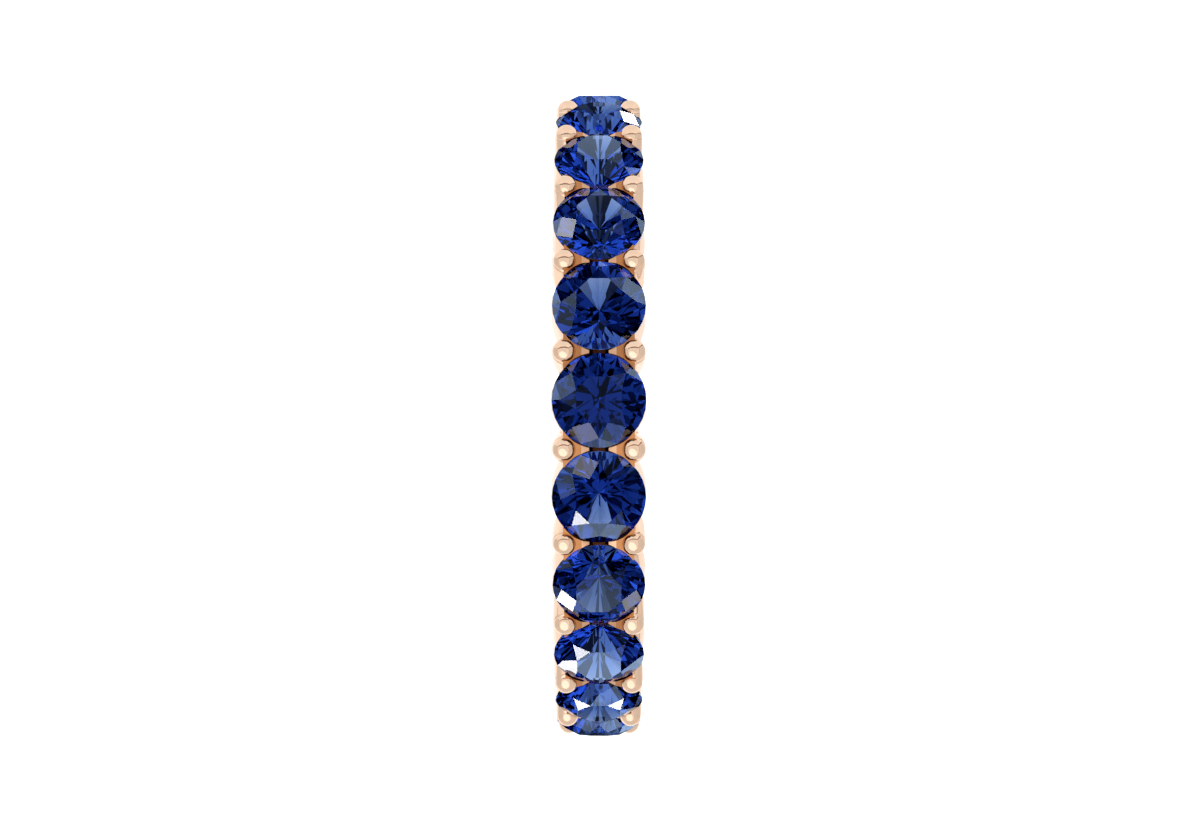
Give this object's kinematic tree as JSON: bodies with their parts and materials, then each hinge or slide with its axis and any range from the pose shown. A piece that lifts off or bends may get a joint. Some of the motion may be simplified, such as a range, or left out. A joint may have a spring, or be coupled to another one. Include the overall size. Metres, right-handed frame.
{
  "type": "eternity ring",
  "caption": "Full eternity finger ring in rose gold: round brilliant-cut blue stones side by side all the way round, each in a round cup, held by pairs of bead-tipped posts.",
  "frame": {"origin": "on the ring's axis, in the plane of the flats that it lies on", "axes": "+Z along the finger, up as the ring lies on its side; -Y through the middle of the first stone, on the viewer's side of the ring"},
  "size_m": [0.0214, 0.0212, 0.0027],
  "materials": {
    "rose_gold": "14 carat rose gold, polished",
    "sapphire": "blue sapphire, faceted and polished"
  },
  "bodies": {
    "root": {"band": "rose_gold", "stone_01": "sapphire", "stone_02": "sapphire", "stone_03": "sapphire", "stone_04": "sapphire", "stone_05": "sapphire", "stone_06": "sapphire", "stone_07": "sapphire", "stone_08": "sapphire", "stone_09": "sapphire", "stone_10": "sapphire", "stone_11": "sapphire", "stone_12": "sapphire", "stone_13": "sapphire", "stone_14": "sapphire", "stone_15": "sapphire", "stone_16": "sapphire", "stone_17": "sapphire", "stone_18": "sapphire", "stone_19": "sapphire", "stone_20": "sapphire", "stone_21": "sapphire", "stone_22": "sapphire", "stone_23": "sapphire"}
  },
  "joints": []
}
